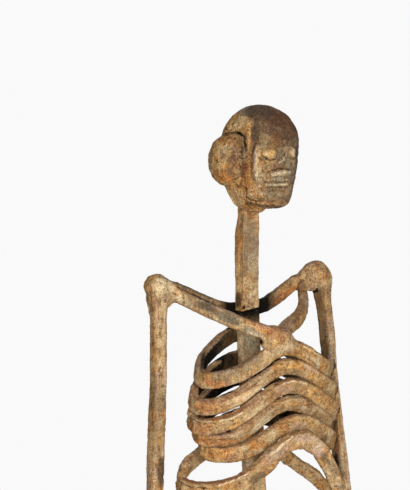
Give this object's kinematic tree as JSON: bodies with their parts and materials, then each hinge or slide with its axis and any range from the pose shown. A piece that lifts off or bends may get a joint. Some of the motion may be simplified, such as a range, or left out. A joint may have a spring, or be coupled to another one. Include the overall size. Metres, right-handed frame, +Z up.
{
  "type": "mumuye iron figure",
  "caption": "Tall standing skeleton figure of forged iron bar: lump head, long neck, shoulder yoke, wavy rib hoops, hanging arms and straight legs on a low plate base.",
  "frame": {"origin": "centre of the base plate's flat underside", "axes": "+Z up the figure, -Y the way it faces, +X its own left"},
  "size_m": [0.3385, 0.23, 1.1995],
  "materials": {
    "forged_iron": "hammered, rusted brown and ochre, matt",
    "base_iron": "hammered, dark rusted brown, matt"
  },
  "bodies": {
    "root": {"base_plate": "base_iron", "head_and_neck": "forged_iron", "shoulder_yoke": "forged_iron", "right_arm": "forged_iron", "left_arm": "forged_iron", "spine": "forged_iron", "rib_1": "forged_iron", "rib_2": "forged_iron", "rib_3": "forged_iron", "rib_4": "forged_iron", "rib_5": "forged_iron", "rib_6": "forged_iron", "hip_hoop": "forged_iron", "right_leg": "forged_iron", "left_leg": "forged_iron"}
  },
  "joints": []
}
